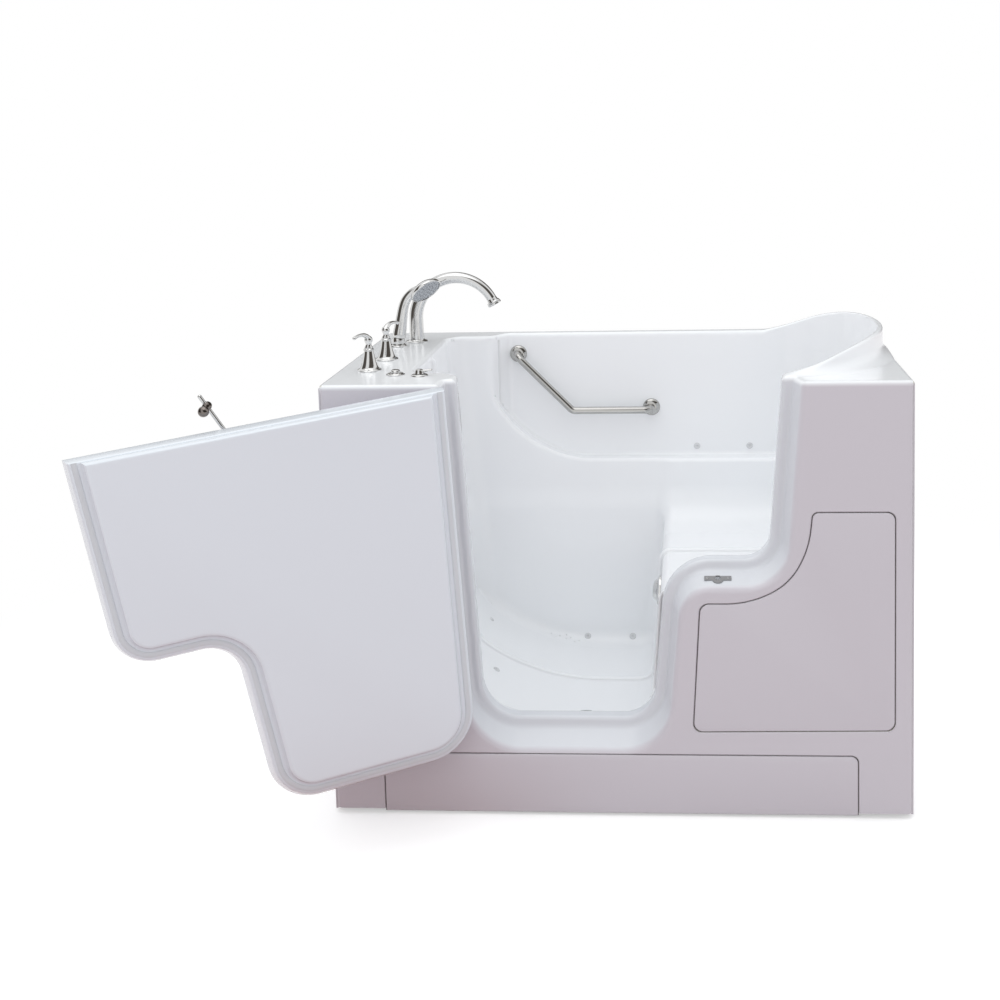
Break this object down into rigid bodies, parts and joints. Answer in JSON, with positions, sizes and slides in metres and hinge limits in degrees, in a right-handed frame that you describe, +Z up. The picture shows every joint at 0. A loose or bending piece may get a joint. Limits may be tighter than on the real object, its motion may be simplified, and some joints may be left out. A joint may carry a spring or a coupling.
{
  "type": "walk-in bathtub with door",
  "caption": "Walk-in bathtub with an outward-opening L-shaped sealed door, a moulded seat, deck taps, a hand shower, a grab bar and air jets.",
  "frame": {"origin": "on the floor at the foot of the centre levelling foot, midway along the tub and midway across it", "axes": "+X along the tub from the door hinge end to the seat end, +Y from the front face to the wall side, +Z up"},
  "size_m": [1.8068, 1.1269, 1.2093],
  "materials": {
    "basin_acrylic": "polished white acrylic",
    "skirt_acrylic": "glossy white acrylic skirt",
    "door_acrylic": "glossy white acrylic door skins",
    "steel_frame": "powder-coated square tube",
    "chrome_fittings": "polished chrome",
    "bright_bar": "polished stainless tube",
    "dark_chrome": "dark polished knob",
    "hinge_steel": "brushed stainless",
    "screw_steel": "plain stainless fasteners",
    "seal_rubber": "pale silicone seal",
    "foot_rubber": "black levelling foot",
    "brass_bodies": "rough cast brass",
    "copper_pipe": "drawn copper",
    "pipe_plastic": "moulded white pipe",
    "blower_plastic": "moulded grey housing",
    "jet_plastic": "moulded white jet",
    "spray_plastic": "grey spray face",
    "door_board": "bonded plywood core"
  },
  "bodies": {
    "tub": {"deck_moulding": "basin_acrylic", "basin_moulding": "basin_acrylic", "seat_moulding": "basin_acrylic", "front_moulding": "skirt_acrylic", "left_end_panel": "skirt_acrylic", "right_end_panel": "skirt_acrylic", "access_panel": "skirt_acrylic", "kick_panel": "skirt_acrylic", "panel_clips": "hinge_steel", "frame_rails": "steel_frame", "frame_cross_tubes": "steel_frame", "frame_posts": "steel_frame", "levelling_feet": "foot_rubber", "foot_lock_nuts": "screw_steel", "strike_plate": "hinge_steel", "frame_screws": "screw_steel", "grab_bar": "bright_bar", "grab_bar_flanges": "bright_bar", "air_jets": "jet_plastic", "air_manifold": "pipe_plastic", "air_blower": "blower_plastic", "blower_plate": "steel_frame", "overflow_cover": "chrome_fittings", "overflow_pipe": "pipe_plastic", "drain_flange": "chrome_fittings", "waste_pipe": "pipe_plastic", "spout": "chrome_fittings", "spout_flange": "chrome_fittings", "spout_aerator": "chrome_fittings", "spout_shank": "brass_bodies", "mixing_pipes": "copper_pipe", "deck_nuts": "brass_bodies", "hot_valve_body": "brass_bodies", "cold_valve_body": "brass_bodies", "valve_escutcheons": "chrome_fittings", "shower_holder": "chrome_fittings", "button_housing": "chrome_fittings", "button_spring": "screw_steel", "drain_knob_base": "chrome_fittings", "jamb_hinge_leaf": "hinge_steel", "hinge_pin": "screw_steel"},
    "door": {"door_outer_skin": "door_acrylic", "door_inner_skin": "door_acrylic", "door_core": "door_board", "door_gasket": "seal_rubber", "door_hinge_leaf": "hinge_steel", "door_hinge_screws": "screw_steel", "latch_plate": "chrome_fittings", "bolt_housing": "hinge_steel"},
    "latch_arm": {"latch_lever": "chrome_fittings", "latch_knob": "dark_chrome"},
    "bolt": {"latch_bolt": "bright_bar"},
    "hot_lever": {"hot_handle": "chrome_fittings"},
    "cold_lever": {"cold_handle": "chrome_fittings"},
    "hand_shower": {"shower_wand": "chrome_fittings", "shower_head": "chrome_fittings", "shower_face": "spray_plastic"},
    "push_button": {"air_button": "chrome_fittings"},
    "drain_lever": {"drain_knob": "chrome_fittings"},
    "drain_plug": {"drain_stopper": "chrome_fittings"}
  },
  "joints": [
    {"name": "door_hinge", "type": "hinge", "parent": "tub", "child": "door", "pos_m": [-0.34597, -0.3859, 0.25], "axis": [-0.0563, 0, 0.9984], "range_deg": [0, 158]},
    {"name": "latch_turn", "type": "hinge", "parent": "door", "child": "latch_arm", "pos_m": [-0.806, -0.54437, 0.91489], "axis": [-0.374, 0.9272, -0.0211], "range_deg": [0, 60]},
    {"name": "bolt_slide", "type": "slide", "parent": "door", "child": "bolt", "axis": [0.1083, 0.0211, -0.9939], "range_m": [0, 0.014]},
    {"name": "hot_tap_turn", "type": "hinge", "parent": "tub", "child": "hot_lever", "pos_m": [-0.595, -0.194, 1.09], "axis": [0, 0, 1], "range_deg": [0, 90]},
    {"name": "cold_tap_turn", "type": "hinge", "parent": "tub", "child": "cold_lever", "pos_m": [-0.585, -0.047, 1.09], "axis": [0, 0, -1], "range_deg": [0, 90]},
    {"name": "hand_shower_lift", "type": "slide", "parent": "tub", "child": "hand_shower", "axis": [0.1736, 0, 0.9848], "range_m": [0, 0.08]},
    {"name": "air_button_press", "type": "slide", "parent": "tub", "child": "push_button", "axis": [0, 0, -1], "range_m": [0, 0.004], "stiffness_N_per_m": 500, "springref_m": -0.002, "deforming": ["button_spring"]},
    {"name": "drain_lever_turn", "type": "hinge", "parent": "tub", "child": "drain_lever", "pos_m": [-0.459, -0.268, 1.03], "axis": [0, 0, 1], "range_deg": [0, 90]},
    {"name": "drain_plug_lift", "type": "slide", "parent": "tub", "child": "drain_plug", "axis": [0, 0, 1], "range_m": [0, 0.01]}
  ],
  "couplings": [
    {"joint": "bolt_slide", "follows": "latch_turn", "m_per_rad": 0.013368},
    {"joint": "drain_plug_lift", "follows": "drain_lever_turn", "m_per_rad": 0.006366}
  ]
}
